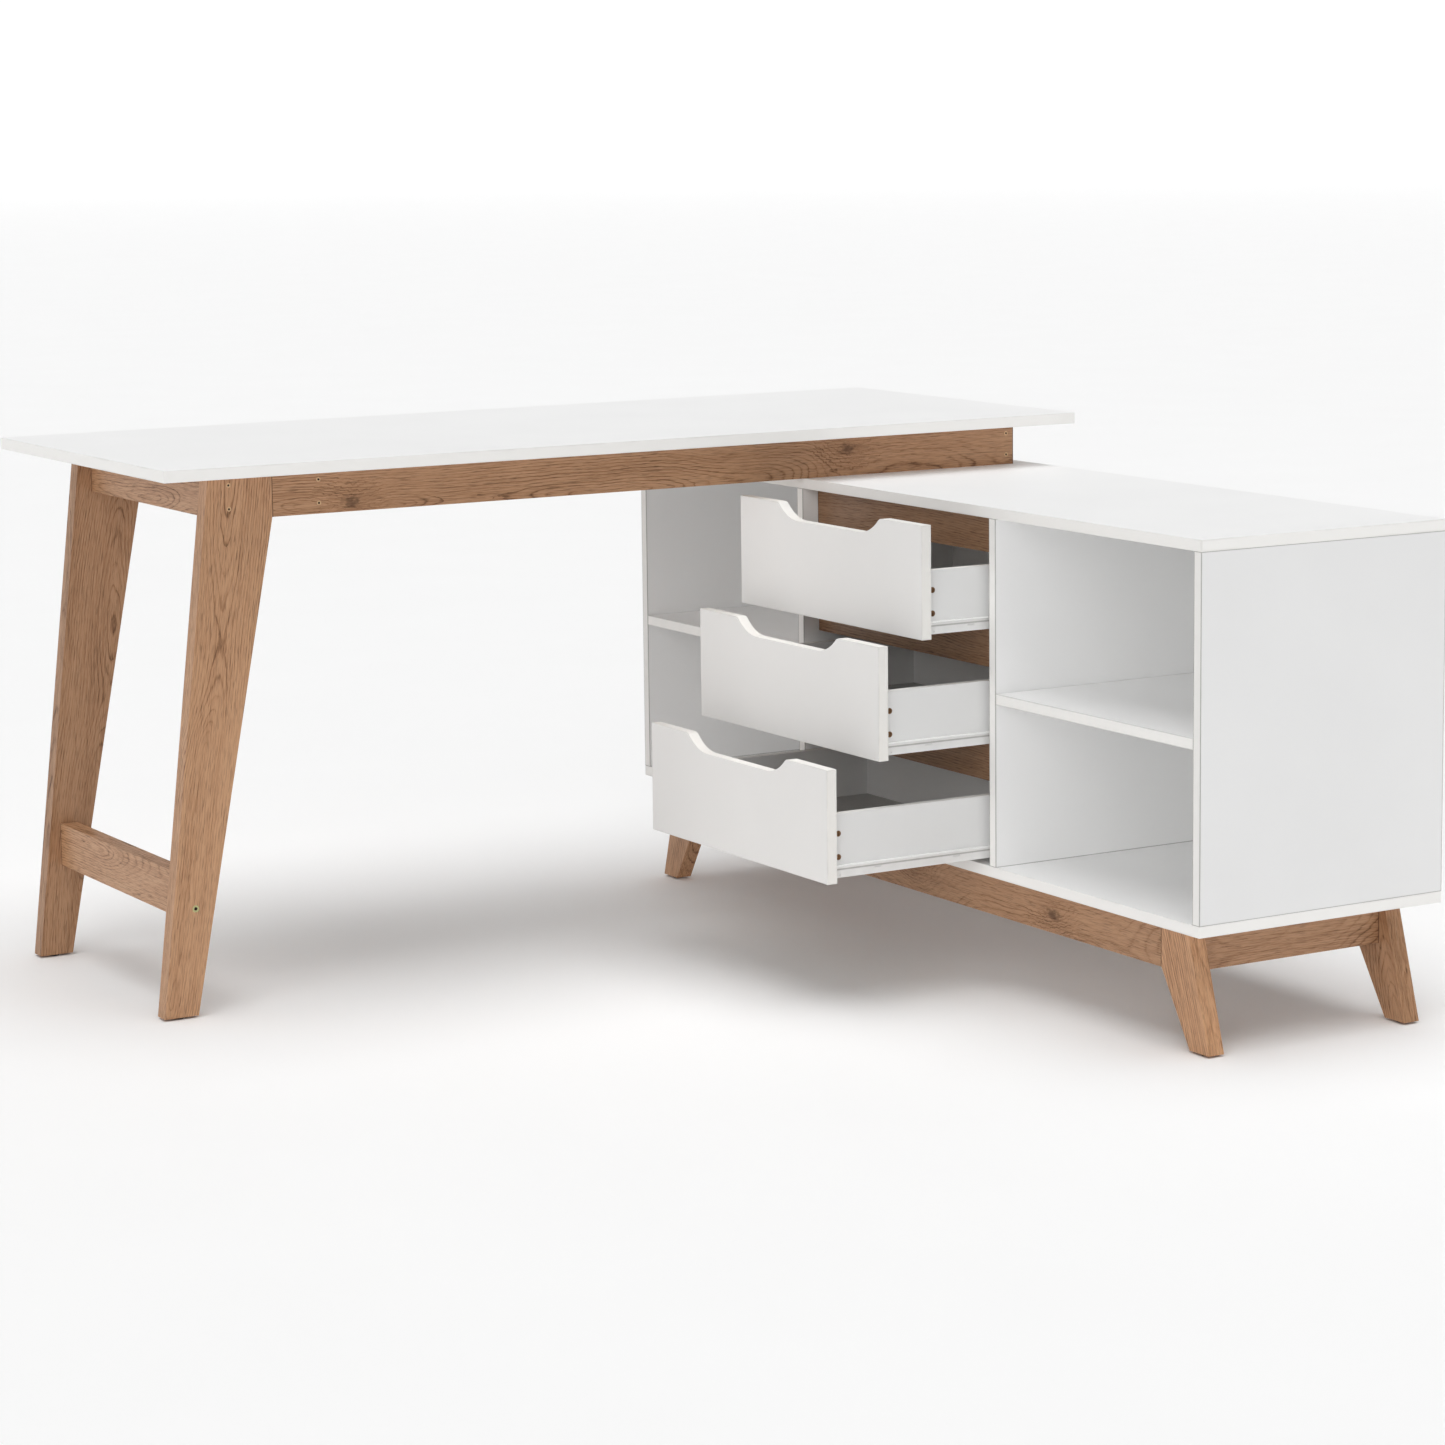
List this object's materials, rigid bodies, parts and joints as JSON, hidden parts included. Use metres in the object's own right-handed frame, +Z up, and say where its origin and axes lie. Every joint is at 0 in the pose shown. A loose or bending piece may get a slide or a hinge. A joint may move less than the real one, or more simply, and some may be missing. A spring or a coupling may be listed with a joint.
{
  "type": "corner desk",
  "caption": "L-shaped corner desk: white top on a splayed wooden leg frame, carried by a low cabinet with open shelved compartments and drawers on roller runners, shown partly open",
  "frame": {"origin": "on the floor, under the middle of the outline of the whole desk", "axes": "+X along the desk top from its leg frame to the cabinet, +Y away from the person who sits at the desk, +Z up"},
  "size_m": [1.46, 1.493, 0.75],
  "materials": {
    "white_board": "white melamine-faced board with a warm white edge band, satin",
    "wood_board": "mid-brown oak board, open pores, matt lacquer",
    "grey_hardboard": "grey lacquered hardboard, matt",
    "dowel_wood": "plain beech, unfinished",
    "runner_enamel": "white epoxy enamel on folded sheet steel, semi-gloss",
    "roller_nylon": "natural nylon, satin",
    "glide_plastic": "black plastic, matt",
    "bronze_steel": "dark bronze-plated steel, satin",
    "yellow_zinc": "yellow zinc-plated steel, satin",
    "zinc_steel": "bright zinc-plated steel, satin"
  },
  "bodies": {
    "desk": {"desk_top": "white_board", "cabinet_top": "white_board", "cabinet_bottom": "white_board", "near_side_panel": "white_board", "far_side_panel": "white_board", "near_divider": "white_board", "far_divider": "white_board", "near_shelf": "white_board", "far_shelf": "white_board", "back_panels": "white_board", "front_apron": "wood_board", "back_apron": "wood_board", "inner_cross_rail": "wood_board", "end_cross_rail": "wood_board", "front_leg": "wood_board", "back_leg": "wood_board", "leg_top_rail": "wood_board", "leg_stretcher": "wood_board", "bay_rails": "wood_board", "base_long_rails": "wood_board", "base_short_rails": "wood_board", "near_front_cabinet_leg": "wood_board", "near_back_cabinet_leg": "wood_board", "far_front_cabinet_leg": "wood_board", "far_back_cabinet_leg": "wood_board", "leg_glides": "glide_plastic", "cabinet_glides": "glide_plastic", "frame_bolts": "bronze_steel", "stretcher_bolts": "yellow_zinc", "fixing_brackets": "zinc_steel", "bracket_screws": "zinc_steel", "base_screws": "zinc_steel", "shelf_pins": "zinc_steel", "wood_dowels": "dowel_wood", "cabinet_runners": "runner_enamel"},
    "top_drawer": {"top_drawer_front": "white_board", "top_drawer_sides": "white_board", "top_drawer_back": "white_board", "top_drawer_bottom": "grey_hardboard", "top_drawer_fasteners": "bronze_steel", "top_drawer_runners": "runner_enamel"},
    "top_front_roller_pair": {"top_front_rollers": "roller_nylon"},
    "top_rear_roller_pair": {"top_rear_rollers": "roller_nylon"},
    "middle_drawer": {"middle_drawer_front": "white_board", "middle_drawer_sides": "white_board", "middle_drawer_back": "white_board", "middle_drawer_bottom": "grey_hardboard", "middle_drawer_fasteners": "bronze_steel", "middle_drawer_runners": "runner_enamel"},
    "middle_front_roller_pair": {"middle_front_rollers": "roller_nylon"},
    "middle_rear_roller_pair": {"middle_rear_rollers": "roller_nylon"},
    "bottom_drawer": {"bottom_drawer_front": "white_board", "bottom_drawer_sides": "white_board", "bottom_drawer_back": "white_board", "bottom_drawer_bottom": "grey_hardboard", "bottom_drawer_fasteners": "bronze_steel", "bottom_drawer_runners": "runner_enamel"},
    "bottom_front_roller_pair": {"bottom_front_rollers": "roller_nylon"},
    "bottom_rear_roller_pair": {"bottom_rear_rollers": "roller_nylon"}
  },
  "joints": [
    {"name": "top_drawer_slide", "type": "slide", "parent": "desk", "child": "top_drawer", "axis": [-1, 0, 0], "range_m": [-0.107, 0.163]},
    {"name": "top_front_roller_spin", "type": "hinge", "parent": "desk", "child": "top_front_roller_pair", "pos_m": [0.317, -0.0345, 0.5127], "axis": [0, 1, 0], "range_deg": [-1203, 791]},
    {"name": "top_rear_roller_spin", "type": "hinge", "parent": "top_drawer", "child": "top_rear_roller_pair", "pos_m": [0.536, -0.0345, 0.5125], "axis": [0, 1, 0], "range_deg": [-1218, 802]},
    {"name": "middle_drawer_slide", "type": "slide", "parent": "desk", "child": "middle_drawer", "axis": [-1, 0, 0], "range_m": [-0.177, 0.093]},
    {"name": "middle_front_roller_spin", "type": "hinge", "parent": "desk", "child": "middle_front_roller_pair", "pos_m": [0.317, -0.0345, 0.3538], "axis": [0, 1, 0], "range_deg": [-689, 1306]},
    {"name": "middle_rear_roller_spin", "type": "hinge", "parent": "middle_drawer", "child": "middle_rear_roller_pair", "pos_m": [0.466, -0.0345, 0.3536], "axis": [0, 1, 0], "range_deg": [-698, 1323]},
    {"name": "bottom_drawer_slide", "type": "slide", "parent": "desk", "child": "bottom_drawer", "axis": [-1, 0, 0], "range_m": [-0.26, 0.01]},
    {"name": "bottom_front_roller_spin", "type": "hinge", "parent": "desk", "child": "bottom_front_roller_pair", "pos_m": [0.317, -0.0345, 0.1949], "axis": [0, 1, 0], "range_deg": [-79, 1915]},
    {"name": "bottom_rear_roller_spin", "type": "hinge", "parent": "bottom_drawer", "child": "bottom_rear_roller_pair", "pos_m": [0.383, -0.0345, 0.1947], "axis": [0, 1, 0], "range_deg": [-80, 1940]}
  ],
  "couplings": [
    {"joint": "top_front_roller_spin", "follows": "top_drawer_slide", "rad_per_m": -128.21},
    {"joint": "top_rear_roller_spin", "follows": "top_drawer_slide", "rad_per_m": -129.87},
    {"joint": "middle_front_roller_spin", "follows": "middle_drawer_slide", "rad_per_m": -128.21},
    {"joint": "middle_rear_roller_spin", "follows": "middle_drawer_slide", "rad_per_m": -129.87},
    {"joint": "bottom_front_roller_spin", "follows": "bottom_drawer_slide", "rad_per_m": -128.21},
    {"joint": "bottom_rear_roller_spin", "follows": "bottom_drawer_slide", "rad_per_m": -129.87}
  ]
}
